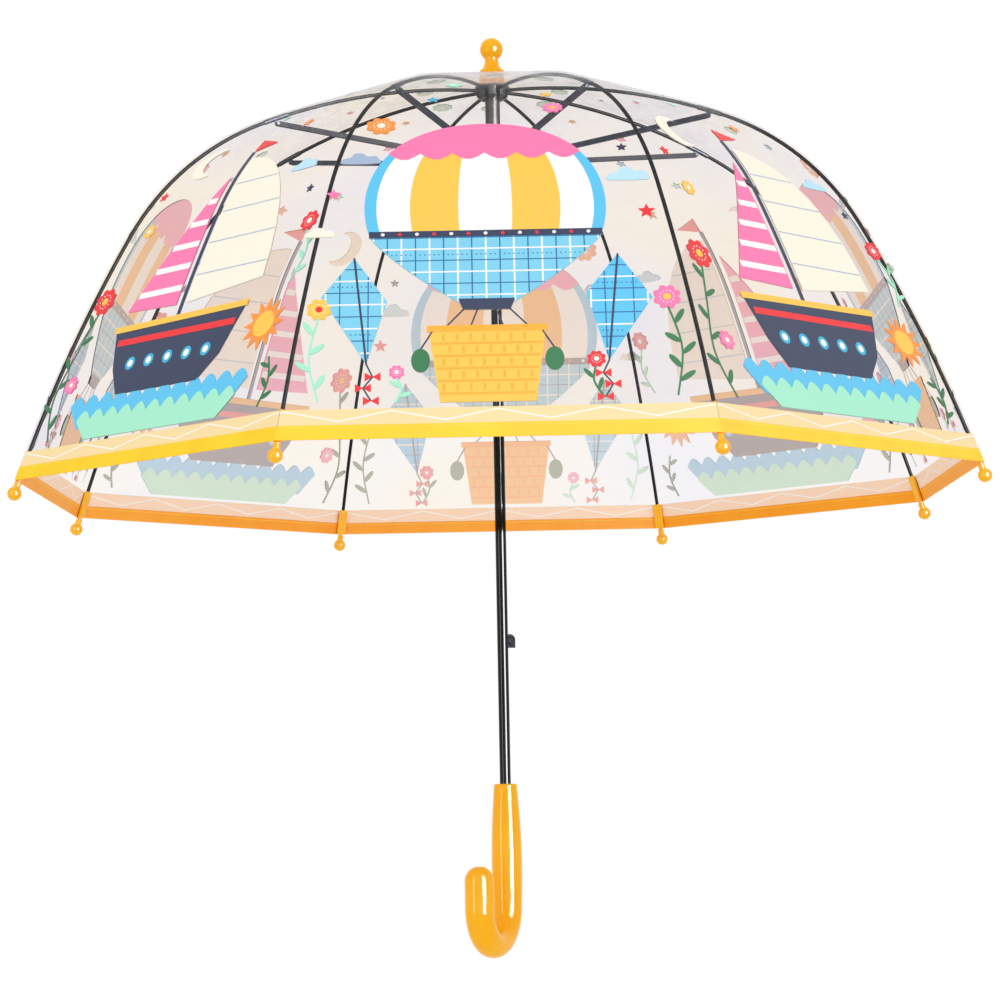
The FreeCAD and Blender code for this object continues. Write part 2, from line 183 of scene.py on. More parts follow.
def foldShare(distance):
    # how narrow the film lies when the ribs are down, so that it just reaches the next gore
    radius, height = ribPoint(distance)[:2]
    middle = radius * math.cos(halfGore) ** 2      # the gore's middle, as its rib sees it
    pivotRadius, pivotHeight = dome["crownPivot"]
    angle = math.radians(dome["closedAngle"])
    inward, drop = (middle - pivotRadius) * math.cos(angle), (height - pivotHeight) * math.sin(angle)
    closed = pivotRadius + inward + drop
    return max(dome["leastShare"], min(1.0, closed / middle))


def meshObject(name, points, faces, material=None, smooth=True):
    mesh = bpy.data.meshes.new(name)
    mesh.from_pydata([tuple(p) for p in points], [], faces)
    mesh.update()
    if smooth:
        mesh.polygons.foreach_set("use_smooth", [True] * len(mesh.polygons))
    made = bpy.data.objects.new(name, mesh)
    bpy.context.scene.collection.objects.link(made)
    if material:
        mesh.materials.append(material)
    return made


def foldWithRib(piece, rib, distance):
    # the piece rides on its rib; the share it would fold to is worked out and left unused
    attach(piece, f"rib_{rib + 1}")
    foldShare(distance)
    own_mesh(piece)


# camera
camera = {
    "azimuth": 22.5,          # a gore faces the viewer
    "distance": 2.0274,       # from the shaft
    "height": 0.0456,
    "pitch": 5.7,
    "roll": 1.09,
    "lens": 99.6,
    "sensor": 36,
}


def makeCamera():
    data = bpy.data.cameras.new("camera")
    data.lens = camera["lens"]
    data.sensor_width = camera["sensor"]
    data.clip_start = 0.05
    data.clip_end = 60
    made = bpy.data.objects.new("camera", data)
    bpy.context.scene.collection.objects.link(made)
    turn = math.radians(camera["azimuth"])
    made.location = (
        math.sin(turn) * camera["distance"], -math.cos(turn) * camera["distance"], camera["height"])
    turned = (
        Matrix.Rotation(turn, 4, "Z")
        @ Matrix.Rotation(math.radians(90 + camera["pitch"]), 4, "X")
        @ Matrix.Rotation(-math.radians(camera["roll"]), 4, "Z"))
    made.rotation_euler = turned.to_euler()
    bpy.context.scene.camera = made


def makeClearFilm():
    # soft clear PVC sheet, calendered: a faint veil face on, milky where it is pulled in at the crown, with grey-blue
    # to white streaks on its creases that are painted highlight and shade
    material, tree, shader = newMaterial("Clear PVC film", {
        "Roughness": 0.55, "IOR": 1.53, "Specular IOR Level": 0.1})
    place = addNode(tree, "ShaderNodeTexCoord")
    split = addNode(tree, "ShaderNodeSeparateXYZ", links={"Vector": place.outputs["Object"]})
    # the sheet's own faint cast, cool to warm, in patches about as wide as a hand all round the dome
    cast = addNode(
        tree, "ShaderNodeTexNoise", {"Scale": 1 / 0.12, "Detail": 1.0}, {"Vector": place.outputs["Object"]})
    tint = setRamp(addNode(tree, "ShaderNodeValToRGB", links={"Fac": cast.outputs["Fac"]}), [
        (0.35, "#F5F3F6"), (0.5, "#FAF6F3"), (0.65, "#FCF6EC")])
    clear = addNode(tree, "ShaderNodeBsdfTransparent", links={"Color": tint.outputs["Color"]})
    facing = addNode(tree, "ShaderNodeLayerWeight", {"Blend": 0.5})
    glance = addNode(
        tree, "ShaderNodeMapRange", {"interpolation_type": "SMOOTHSTEP", "From Min": 0.45, "From Max": 1.0},
        {"Value": facing.outputs["Facing"]})
    # how much more milky it turns at a glance, from the sides up to the crown
    bloom = addNode(
        tree, "ShaderNodeMapRange",
        {"interpolation_type": "SMOOTHSTEP", "From Min": 0.49, "From Max": 0.56, "To Min": 0.02, "To Max": 0.52},
        {"Value": split.outputs["Z"]})
    cover = addNode(tree, "ShaderNodeMath", {"operation": "MULTIPLY_ADD", 2: 0.03}, {
        0: glance.outputs["Result"], 1: bloom.outputs["Result"]})
    body = addNode(tree, "ShaderNodeMixShader", links={
        0: cover.outputs["Value"], 1: clear.outputs["BSDF"], 2: shader.outputs["BSDF"]})
    tree.links.new(body.outputs["Shader"], tree.nodes["Material Output"].inputs["Surface"])
    # the creases' streaks, grey-blue to white, are painted highlight and shade; they run out from the crown, drawn 20
    # mm wide so that they show
    flat = addNode(tree, "ShaderNodeMapping", {"Scale": (1.0, 1.0, 4.0)}, {"Vector": place.outputs["Object"]})
    crumpleShineAndShade = addNode(
        tree, "ShaderNodeTexNoise", {"Scale": 1 / 0.02, "Detail": 2.0, "Distortion": 1.2},
        {"Vector": flat.outputs["Vector"]})
    shade = setRamp(addNode(tree, "ShaderNodeValToRGB", links={"Fac": crumpleShineAndShade.outputs["Fac"]}), [
        (0.34, "#BFC4D4"), (0.5, "#E4E5ED"), (0.66, "#FFFFFF")])
    tree.links.new(shade.outputs["Color"], shader.inputs["Base Color"])
    # slow waves of a sheet that is pulled tight
    addPattern(tree, shader, 0.045, 1.0, strength=0.5, depth=0.006)
    return material


def makeInk():
    # screen-printed vinyl ink: flat, dense colour with a slight sheen and a fine tooth
    material, tree, shader = newMaterial("Screen-printed vinyl ink", {"Roughness": 0.42, "Specular IOR Level": 0.25})
    colour = addNode(tree, "ShaderNodeAttribute", {"attribute_name": "inkColour"})
    tree.links.new(colour.outputs["Color"], shader.inputs["Base Color"])
    addPattern(tree, shader, 0.0012, 3.0, strength=0.08, depth=0.0004)
    return material


def makeTape():
    # woven polyester binding tape, folded and stitched: ribbed across, its outer leaf painted a lighter yellow for the
    # light outside and its inner leaf a darker orange for the shade inside the dome
    material, tree, shader = newMaterial("Polyester binding tape", {"Roughness": 0.5, "Specular IOR Level": 0.2})
    place = addNode(tree, "ShaderNodeTexCoord")
    weave = addNode(
        tree, "ShaderNodeTexWave",
        {"wave_type": "BANDS", "bands_direction": "Z", "Scale": 2 * math.pi / 0.012, "Distortion": 0.4},
        {"Vector": place.outputs["Object"]})
    shade = addNode(
        tree, "ShaderNodeTexNoise", {"Scale": 1 / 0.03, "Detail": 2.0}, {"Vector": place.outputs["Object"]})
    # painted light and shade: a lit yellow copy for the outer leaf and a shaded orange copy for the inner leaf, of one
    # amber tape
    outside = setRamp(addNode(tree, "ShaderNodeValToRGB", links={"Fac": shade.outputs["Fac"]}), [
        (0.3, "#FFCF10"), (0.7, "#FFDA1C")])
    inside = setRamp(addNode(tree, "ShaderNodeValToRGB", links={"Fac": shade.outputs["Fac"]}), [
        (0.3, "#FF9D10"), (0.7, "#FFA91A")])
    leaf = addNode(tree, "ShaderNodeAttribute", {"attribute_name": "shadedInnerLeaf"})
    tint = addNode(tree, "ShaderNodeMix", {"data_type": "RGBA"}, {
        0: leaf.outputs["Fac"], 6: outside.outputs["Color"], 7: inside.outputs["Color"]})
    tree.links.new(tint.outputs[2], shader.inputs["Base Color"])
    bump = addNode(
        tree, "ShaderNodeBump", {"Strength": 0.3, "Distance": 0.0002}, {"Height": weave.outputs["Fac"]})
    tree.links.new(bump.outputs["Normal"], shader.inputs["Normal"])
    return material


def makeThread():
    # spun polyester sewing thread: matt, a shade paler than the tape
    material, tree, shader = newMaterial("Polyester thread", {"Roughness": 0.7})
    addPattern(tree, shader, 0.002, 2.0, [(0.3, "#FFD216"), (0.7, "#FFE14A")])
    return material


def makeAmber():
    # injection-moulded ABS from a polished mould: deep amber, glossy, with faint flow marks
    material, tree, shader = newMaterial("Amber ABS moulding", {
        "Roughness": 0.05, "IOR": 1.53, "Specular IOR Level": 0.16,
        "Subsurface Weight": 0.08, "Subsurface Radius": (0.004, 0.002, 0.0005)})
    addPattern(tree, shader, 0.05, 1.0, [(0.3, "#FFB00C"), (0.7, "#FFBA18")])
    addPattern(tree, shader, 0.006, 1.0, strength=0.015, depth=0.0002)
    return material


def makeTipPlastic():
    # acetal rib tips, tumbled: yellow with a soft gloss
    material, tree, shader = newMaterial("Yellow acetal moulding", {
        "Roughness": 0.25, "Specular IOR Level": 0.25,
        "Subsurface Weight": 0.1, "Subsurface Radius": (0.003, 0.0015, 0.0005)})
    addPattern(tree, shader, 0.006, 1.0, [(0.3, "#FFB014"), (0.7, "#FFC01E")], 0.1, 0.0003)
    return material


def makeBlackEnamel():
    # stoved black enamel on steel tube: hard clear highlight, slight orange peel
    material, tree, shader = newMaterial("Black stoved enamel", {"Roughness": 0.05, "Specular IOR Level": 0.2})
    addPattern(tree, shader, 0.006, 1.0, [(0.2, "#030304"), (0.8, "#070708")], 0.004, 0.00005)
    return material


def makeSteel(name, dark, light, roughness):
    # plated or blued steel, drawn or pressed: metal with fine scratches that are rougher than the rest
    material, tree, shader = newMaterial(name, {"Metallic": 1.0})
    scratch = addPattern(tree, shader, 0.0015, 4.0, [(0.3, dark), (0.7, light)], 0.1, 0.0002)
    rough = addNode(
        tree, "ShaderNodeMapRange", {"To Min": roughness - 0.07, "To Max": roughness + 0.1},
        {"Value": scratch.outputs["Fac"]})
    tree.links.new(rough.outputs["Result"], shader.inputs["Roughness"])
    return material


def makeBlackLacquer():
    # spring wire dipped in black lacquer: satin, with a faint drawn grain
    material, tree, shader = newMaterial("Black lacquer on spring wire", {
        "Roughness": 0.38, "Specular IOR Level": 0.08})
    addPattern(tree, shader, 0.002, 3.0, [(0.3, "#08090B"), (0.7, "#121419")], 0.08, 0.0001)
    return material


def makeSlatePaint():
    # electrocoated rolled channel: thin slate-grey paint, dull sheen, a little lighter on worn spots
    material, tree, shader = newMaterial("Slate electrocoat on steel", {
        "Roughness": 0.5, "Specular IOR Level": 0.08})
    addPattern(tree, shader, 0.004, 3.0, [(0.35, "#2A2E3B"), (0.62, "#363B4A"), (0.8, "#525768")], 0.1, 0.0002)
    return material


def makeBlackNylon():
    # glass-filled nylon, moulded in a spark-eroded tool: satin black with a fine grain
    material, tree, shader = newMaterial("Black nylon moulding", {"Roughness": 0.42})
    addPattern(tree, shader, 0.0009, 3.0, [(0.3, "#17171A"), (0.7, "#222226")], 0.2, 0.0002)
    return material


# printed pictures
# drawn in millimetres on the flat gore: x to the right of its middle, y up from the hem
ink = {
    "amber": "#FFCC4D", "deepAmber": "#FFB52E", "skyBlue": "#5CC8F5", "paleSky": "#BFE9FB", "white": "#FDFDFB",
    "lightBlue": "#7FD3F2", "navyLine": "#2B6FA8", "green": "#2F7B4B", "navy": "#2E3A59",
    "cyan": "#35B6DE", "pink": "#FF7DB4", "mint": "#A8F0D0", "red": "#F5262D", "cream": "#FFF8E5", "zigzag": "#FFF9EC",
    "blueGrey": "#A9BCD6", "orange": "#FF9A3C", "paleBand": "#FBE0A5",
}


def ellipse(x, y, rx, ry=None, steps=36, start=0.0, end=360.0):
    ry = ry or rx
    full = abs(end - start) >= 360
    count = steps if full else steps + 1
    return [(
        x + rx * math.cos(math.radians(start + (end - start) * i / steps)),
        y + ry * math.sin(math.radians(start + (end - start) * i / steps))) for i in range(count)]


def curved(points, share):
    # a point between the second and third of four, on the smooth curve through them
    a, b, c, d = points
    return tuple(0.5 * (
        2 * b[n] + (c[n] - a[n]) * share + (2 * a[n] - 5 * b[n] + 4 * c[n] - d[n]) * share * share
        + (3 * b[n] - a[n] - 3 * c[n] + d[n]) * share ** 3) for n in range(2))


def smoothLoop(points, steps=8):
    # closed curve through the points
    made = []
    count = len(points)
    for i in range(count):
        near = [points[(i + k - 1) % count] for k in range(4)]
        made += [curved(near, step / steps) for step in range(steps)]
    return made


def scalloped(x, y, radius, lobes, depth, steps=6):
    # rosette outline of round lobes
    made = []
    for i in range(lobes * steps):
        angle = 2 * math.pi * i / (lobes * steps)
        reach = radius * (1 + depth * abs(math.sin(angle * lobes / 2)))
        made.append((x + reach * math.cos(angle), y + reach * math.sin(angle)))
    return made


def star(x, y, outer, inner, points=5, turn=90.0):
    made = []
    for i in range(points * 2):
        reach = inner if i % 2 else outer
        angle = math.radians(turn + 180 / points * i)
        made.append((x + reach * math.cos(angle), y + reach * math.sin(angle)))
    return made


def stars(*places):
    return [(star(x, y, size, size * 0.45), colour, 1) for x, y, size, colour in places]


def line(a, b, width):
    dx, dy = b[0] - a[0], b[1] - a[1]
    size = math.hypot(dx, dy)
    nx, ny = -dy / size * width / 2, dx / size * width / 2
    return [(a[0] - nx, a[1] - ny), (b[0] - nx, b[1] - ny), (b[0] + nx, b[1] + ny), (a[0] + nx, a[1] + ny)]


def ribbon(points, width):
    # one strip along a path
    left, right = [], []
    for i, (x, y) in enumerate(points):
        ax, ay = points[max(0, i - 1)]
        bx, by = points[min(len(points) - 1, i + 1)]
        size = math.hypot(bx - ax, by - ay)
        nx, ny = -(by - ay) / size * width / 2, (bx - ax) / size * width / 2
        left.append((x + nx, y + ny))
        right.append((x - nx, y - ny))
    return left + right[::-1]


def insideSpan(outline, value, axis):
    # where a vertical (axis 0) or level (axis 1) line crosses a convex outline
    hits = []
    for a, b in zip(outline, outline[1:] + outline[:1]):
        low, high = a[axis], b[axis]
        if (low - value) * (high - value) < 0:
            share = (value - low) / (high - low)
            hits.append(a[1 - axis] + (b[1 - axis] - a[1 - axis]) * share)
    return (min(hits), max(hits)) if len(hits) >= 2 else None


def plaidLines(outline, originX, originY, layer):
    # white and navy lines of a woven check, and dotted stitches between them
    shapes = []
    xs = [p[0] for p in outline]
    ys = [p[1] for p in outline]
    checks = (("white", 1.1, 0.0, 18.0), ("navyLine", 0.8, 9.0, 18.0))
    for colour, width, shift, pitch in checks:
        for axis, low, high, origin in ((0, min(xs), max(xs), originX), (1, min(ys), max(ys), originY)):
            first = math.ceil((low - origin - shift) / pitch)
            for n in range(first, int((high - origin - shift) / pitch) + 1):
                value = origin + shift + n * pitch
                span = insideSpan(outline, value, axis)
                if not span or span[1] - span[0] < 3:
                    continue
                low1, high1 = span[0] + 0.4, span[1] - 0.4
                ends = ((value, low1), (value, high1)) if axis == 0 else ((low1, value), (high1, value))
                shapes.append((line(*ends, width), colour, layer))
    for n in range(int((max(ys) - min(ys)) / 36) + 1):
        value = originY + 13.5 + 36 * (n + math.ceil((min(ys) - originY - 13.5) / 36))
        span = insideSpan(outline, value, 1)
        if span:
            dot = span[0] + 2.5
            while dot < span[1] - 2.5:
                shapes.append((ellipse(dot, value, 0.55, steps=6), "navyLine", layer))
                dot += 3.0
    return shapes


def blossom(x, y, size, colour, heart, layer):
    return [
        (scalloped(x, y, size * 0.8, 8, 0.28), colour, layer),
        (ellipse(x, y, size * 0.28, steps=16), heart, layer + 1),
    ] + [(ellipse(
        x + size * 0.5 * math.cos(math.radians(30 * i)), y + size * 0.5 * math.sin(math.radians(30 * i)),
        size * 0.055, steps=6), "white", layer + 1) for i in range(12)]


def cloud(x, y, size, colour, layer):
    puffs = smoothLoop([
        (x - size, y - size * 0.28), (x - size * 1.05, y + size * 0.05), (x - size * 0.62, y + size * 0.22),
        (x - size * 0.38, y + size * 0.52), (x + size * 0.08, y + size * 0.5), (x + size * 0.3, y + size * 0.28),
        (x + size * 0.72, y + size * 0.3), (x + size * 0.95, y + size * 0.02), (x + size * 0.85, y - size * 0.28)])
    return [(puffs, colour, layer)]


def sprig(path, leaves, colour, layer, leafSize=6.0, width=1.3):
    # a bent stem with paired oval leaves
    stem = []
    for i in range(len(path) - 1):
        near = [path[max(0, min(len(path) - 1, i + k - 1))] for k in range(4)]
        stem += [curved(near, step / 8) for step in range(8)]
    stem.append(path[-1])
    shapes = [(ribbon(stem, width), colour, layer)]
    for n, share in enumerate(leaves):
        x, y = stem[int(share * (len(stem) - 2))]
        x2, y2 = stem[int(share * (len(stem) - 2)) + 1]
        turn = math.atan2(y2 - y, x2 - x) + (0.8 if n % 2 else -0.8)
        leaf = []
        for px, py in ellipse(leafSize, 0, leafSize, leafSize * 0.32, steps=14):
            leaf.append((
                x + px * math.cos(turn) - py * math.sin(turn), y + px * math.sin(turn) + py * math.cos(turn)))
        shapes.append((leaf, colour, layer + 1))
    return shapes


def balloonGore():
    # a hot-air balloon with a checked belt, kites on their lines, and flowers at the sides
    shapes = []
    centreX, centreY, radius, skirt = -6, 172, 78, 96
    strips = ("skyBlue", "white", "amber", "white", "amber", "white", "skyBlue")

    def envelope(y):
        if y >= centreY - 26:
            return radius * math.sqrt(max(0, 1 - ((y - centreY) / radius) ** 2))
        top = radius * math.sqrt(1 - (26 / radius) ** 2)
        share = (centreY - 26 - y) / (centreY - 26 - skirt)
        return top + (17 - top) * (share * 0.7 + 0.3 * share ** 2)

    def part(low, high, left, right, steps=20):
        # the envelope between two heights and two of its seams
        levels = [low + (high - low) * n / steps for n in range(steps + 1)]
        a = [(centreX + envelope(y) * left, y) for y in levels]
        b = [(centreX + envelope(y) * right, y) for y in levels]
        return a + b[::-1]

    top = centreY + radius - 0.3
    count = len(strips)
    marks = [math.sin(math.radians(-90 + 180 * n / count)) for n in range(count + 1)]
    for n, colour in enumerate(strips):
        shapes.append((part(skirt, top, marks[n], marks[n + 1], 30), colour, 1))
    shapes.append((part(skirt, 150, -1, 1), "lightBlue", 2))
    shapes += plaidLines(part(skirt, 150, -1, 1), centreX, 120, 3)
    shapes.append((line((centreX - envelope(150), 150), (centreX + envelope(150), 150), 5), "navy", 5))
    for n in range(-6, 7):
        shapes.append((ellipse(centreX + n * 11, 150, 1.3, steps=8), "red" if n % 2 else "white", 6))
    wide = envelope(219) * 1.01
    hem = [(centreX - wide + 2 * wide * n / 30, 219 - 6 * abs(math.sin(math.pi * n / 5))) for n in range(1, 30)]
    shapes.append((part(219, top, -1.01, 1.01) + hem[::-1], "pink", 2))
    mouth = [(-18, 3), (-15, -5), (15, -5), (18, 3)]
    shapes.append(([(centreX + x, skirt + y) for x, y in mouth], "navy", 7))
    for side in (-1, -0.4, 0.4, 1):
        shapes.append((line((centreX + 14 * side, skirt - 4), (centreX + 28 * side, skirt - 20), 1.0), "navy", 1))
    basket = [(centreX - 37, 77), (centreX - 30, 24), (centreX + 30, 24), (centreX + 37, 77)]
    shapes.append((basket, "amber", 2))
    for row in range(5):
        y = 30 + 9 * row
        span = insideSpan(basket, y, 1)
        shapes.append((line((span[0] + 1, y), (span[1] - 1, y), 1.6), "deepAmber", 3))
        for n in range(-3, 4):
            x = centreX + 8.5 * n + 4 * (row % 2) - 2
            shapes.append((line((x, y + 2), (x, y + 7), 1.6), "deepAmber", 3))
    for side in (-1, 1):
        shapes.append((line((centreX + 34 * side, 76), (centreX + 42 * side, 62), 1.0), "navy", 3))
        shapes.append((ellipse(centreX + 42 * side, 54, 6, 8.5, steps=18), "green", 4))
    shapes.append((line((centreX - 38, 77), (centreX + 38, 77), 4.5), "deepAmber", 4))
    for side, colour in ((-1, "lightBlue"), (1, "skyBlue")):
        x = centreX + side * 84
        kite = [(x, 132), (x - 21, 102), (x - side * 8, 52), (x + 21, 98)]
        shapes.append((kite, colour, 1))
        shapes += plaidLines(kite, x, 96, 2)
        shapes.append((line(kite[0], kite[2], 1.3), "navy", 4))
        tail = [(x - side * 8, 52), (x - side * 12, 43), (x - side * 6, 35), (x - side * 11, 26)]
        shapes.append((ribbon(tail, 1.1), "navy", 1))
        for px, py in tail[1:]:
            shapes.append(([(px, py), (px - 5, py + 3), (px - 5, py - 3)], "red", 2))
            shapes.append(([(px, py), (px + 5, py + 3), (px + 5, py - 3)], "red", 2))
    shapes += cloud(88, 196, 13, "paleSky", 1)
    shapes += cloud(-86, 214, 12, "blueGrey", 1)
    shapes += cloud(-112, 152, 9, "cream", 1)
    shapes += sprig([(112, 26), (116, 60), (108, 92)], (0.2, 0.35, 0.5, 0.65, 0.8), "green", 1)
    shapes += blossom(108, 98, 9, "pink", "amber", 2)
    shapes += sprig([(-112, 26), (-118, 56), (-112, 88)], (0.2, 0.4, 0.6, 0.8), "mint", 1)
    shapes += blossom(-112, 93, 8, "amber", "red", 2)
    shapes += sprig([(66, 26), (60, 38), (62, 50)], (0.3, 0.6), "green", 1, 4.5)
    shapes += blossom(62, 53, 6, "red", "white", 2)
    shapes += sprig([(-64, 24), (-60, 34), (-63, 42)], (0.3, 0.6), "mint", 1, 4.5)
    shapes += blossom(-63, 46, 5, "pink", "white", 2)
    shapes += blossom(40, 270, 7, "pink", "amber", 1)
    shapes += blossom(-74, 250, 10, "orange", "cream", 1)
    shapes += blossom(2, 458, 7, "mint", "white", 1)
    shapes += blossom(-26, 318, 6, "mint", "white", 1)
    return shapes + stars(
        (-104, 184, 5, "pink"), (98, 166, 6, "red"), (84, 222, 4, "navy"), (-40, 286, 5, "cyan"),
        (36, 292, 5, "amber"), (-8, 396, 4, "pink"), (10, 424, 3, "skyBlue"))


def boatGore():
    # a sailing boat on a few scalloped waves, a moon and flowers at the sides
    shapes = []

    def waves(left, right, y, depth, colour, layer):
        count = 6 * int((right - left) / 15)
        crest = [(left + (right - left) * n / count, y + 7 * abs(math.sin(math.pi * n / 6))) for n in range(count + 1)]
        foot = [(right - 14, y - depth), (left + 14, y - depth)]
        return [(crest + foot, colour, layer)]

    shapes += waves(-96, 92, 50, 18, "skyBlue", 1)
    shapes += waves(-84, 84, 38, 15, "mint", 4)
    hull = [(-70, 104), (-60, 74), (-48, 54), (38, 54), (54, 72), (66, 106)]
    shapes.append((hull, "navy", 2))
    shapes.append((line((-64, 95), (60, 95), 5), "red", 3))
    for n in range(5):
        shapes.append((ellipse(-42 + 20 * n, 77, 5, steps=18), "cyan", 3))
        shapes.append((ellipse(-42 + 20 * n, 77, 2.8, steps=12), "white", 4))
    shapes.append((line((-72, 106), (68, 108), 5), "amber", 4))
    shapes.append((line((-6, 106), (-6, 250), 3.2), "navy", 2))
    bend = [math.radians(a) for a in (86, 76, 66, 56, 46, 36, 26, 16, 6)]
    sail = [(-2, 118)] + [(-2 + 76 * math.sin(a), 118 + 124 * math.cos(a)) for a in bend] + [(-2, 242)]
    shapes.append((sail, "cream", 2))
    for y in (140, 166, 192, 216):
        span = insideSpan(sail, y, 1)
        shapes.append((line((span[0] + 1, y), (span[1] - 1, y), 0.9), "blueGrey", 3))
    jib = [(-12, 118), (-66, 120), (-44, 164), (-12, 226)]
    shapes.append((jib, "pink", 2))
    for y in (132, 150, 168, 186, 204):
        span = insideSpan(jib, y, 1)
        shapes.append((line((span[0] + 1, y), (span[1] - 1, y), 5), "white", 3))
    shapes.append(([(-6, 250), (-6, 264), (15, 256)], "red", 2))
    moon = ellipse(-52, 250, 17, start=70, end=290, steps=20) + ellipse(-44, 250, 14, start=272, end=88, steps=16)
    shapes.append((moon, "cream", 1))
    shapes.append((star(92, 88, 20, 12, 12), "orange", 1))
    shapes.append((ellipse(92, 88, 9.5), "amber", 2))
    shapes += cloud(70, 218, 12, "paleSky", 1)
    shapes += sprig([(110, 26), (114, 44), (108, 62)], (0.2, 0.4, 0.6, 0.8), "green", 1, 5)
    shapes += sprig([(-112, 26), (-120, 58), (-110, 96), (-100, 128)], (0.15, 0.3, 0.45, 0.6, 0.75, 0.9), "green", 1)
    shapes += blossom(-99, 134, 11, "red", "amber", 2)
    shapes += blossom(-104, 68, 7, "pink", "cream", 3)
    shapes += sprig([(104, 118), (110, 140), (102, 160)], (0.2, 0.45, 0.7), "mint", 1, 5)
    shapes += blossom(102, 165, 8, "red", "white", 2)
    shapes += blossom(-80, 190, 6, "amber", "white", 1)
    shapes += blossom(-2, 452, 8, "mint", "white", 1)
    return shapes + stars(
        (88, 194, 4, "navy"), (-84, 222, 5, "red"), (30, 276, 6, "orange"), (-14, 300, 5, "mint"),
        (14, 340, 5, "skyBlue"), (-12, 372, 5, "pink"), (4, 414, 4, "amber"))


hem = {
    "low": 9.6, "high": 20.6,             # the pale band, above the hem
    "pitch": 33.0, "foot": 12.0, "peak": 19.0, "stroke": 1.1,      # its zigzag
}


def hemBand():
    # pale band above the tape, with a white zigzag
    def edge(y, side):
        return (side * (halfWidth(ribLength - y * millimetre) / millimetre - 0.05), y)

    low, high, pitch = hem["low"], hem["high"], hem["pitch"]
    wide = edge(high, 1)[0]
    count = int(wide / pitch)
    last = hem["foot"] + (hem["peak"] - hem["foot"]) * (1 - (wide / pitch - count))
    path = [(-wide, last)]
    for n in range(-count, count + 1):
        path.append((n * pitch, hem["peak"] if n % 2 == 0 else hem["foot"]))
    path.append((wide, last))
    return [
        ([edge(low, -1), edge(low, 1), edge(high, 1), edge(high, -1)], "paleBand", 0),
        (ribbon(path, hem["stroke"]), "zigzag", 1)]


def paleUndercoatAndBacklight(fill):
    # what shows through from inside: a white undercoat, pinkish under the yellow inks, and with it painted light that
    # stands for light coming through the ink
    return linear("#FFD9D8" if fill in ("paleBand", "amber", "deepAmber") else "#FFF1EC")


def inkColour(fill):
    return linear(ink[fill])


def cutFlat(shapes):
    # triangles of every shape, cut at the gore's middle and at every row of the film
    sheet = bmesh.new()
    mark = sheet.faces.layers.int.new("shape")
    for index, (outline, colour, layer) in enumerate(shapes):
        tidy = [p for p, q in zip(outline, outline[1:] + outline[:1]) if math.dist(p, q) > 1e-4]
        corners = [sheet.verts.new((x, y, layer + 1)) for x, y in tidy]
        face = sheet.faces.new(corners)
        face[mark] = index
    sheet.normal_update()
    for face in sheet.faces:
        if face.normal.z < 0:
            face.normal_flip()
    bmesh.ops.triangulate(sheet, faces=sheet.faces[:], ngon_method="BEAUTY")
    cuts = [((0, 0, 0), (1, 0, 0))]
    for row in range(dome["rows"] + 1):
        cuts.append(((0, (ribLength - row * rowLength) / millimetre, 0), (0, 1, 0)))
    for place, way in cuts:
        bmesh.ops.bisect_plane(
            sheet, geom=sheet.verts[:] + sheet.edges[:] + sheet.faces[:], dist=1e-5, plane_co=place, plane_no=way)
    made = []
    sheet.normal_update()
    for face in sheet.faces:
        if face.calc_area() < 1e-5:
            continue
        if face.normal.z < 0:
            face.normal_flip()
        centre = face.calc_center_median()
        made.append((face[mark], centre.x, centre.y, [tuple(v.co) for v in face.verts]))
    sheet.free()
    return made


printing = {
    "clear": 0.15 * millimetre,      # of the film's middle
    "lift": 0.06 * millimetre,       # each colour lies on the one before
    "ground": 0.5,                   # how much the undercoat, and the painted light for light coming through the ink, shows from inside
}


def goreSpan(distance, lift):
    # half a gore's width at the mitre over the rib
    radius, _, slope = ribPoint(distance)
    return (radius * math.cos(halfGore) + lift * math.sin(goreLean(slope))) * math.tan(halfGore)


def bandOf(distance):
    return max(0, min(bandCount - 1, int(distance / rowLength / dome["rowsPerBand"])))


def bandFold(piece, rib, band):
    # the band rides on its rib, with the share worked out at the band's hem side
    foldWithRib(piece, rib, (band + dome["foldAt"]) * dome["rowsPerBand"] * rowLength)


def buildFilm(material):
    # bands of film, each from one gore's middle over its rib to the next gore's middle
    bands = {}
    columns = dome["columns"]
    for rib in range(dome["ribCount"]):
        for band in range(bandCount):
            points, faces, normals = [], [], []
            marks = [(band * dome["rowsPerBand"] + n) * rowLength for n in range(dome["rowsPerBand"] + 1)]
            if band == 0:
                marks[0] = -dome["washerTuck"]
            for distance in marks:
                wide = goreSpan(distance, 0)
                for n in range(columns + 1):
                    points.append(gorePoint((rib - 1) % dome["ribCount"], wide * n / columns, distance))
                for n in range(1, columns + 1):
                    points.append(gorePoint(rib, -wide * (1 - n / columns), distance))
            across = 2 * columns + 1
            for row in range(len(marks) - 1):
                for n in range(2 * columns):
                    a = row * across + n
                    faces.append((a + across, a + across + 1, a + 1, a))
                    gore = (rib - 1) % dome["ribCount"] if n < columns else rib
                    low, high = goreNormal(gore, marks[row + 1]), goreNormal(gore, marks[row])
                    normals += [low, low, high, high]
            piece = meshObject(f"film_{rib + 1}_{band + 1}", points, faces, material)
            piece.data.normals_split_custom_set([tuple(n) for n in normals])
            bands[rib, band] = piece
    return bands


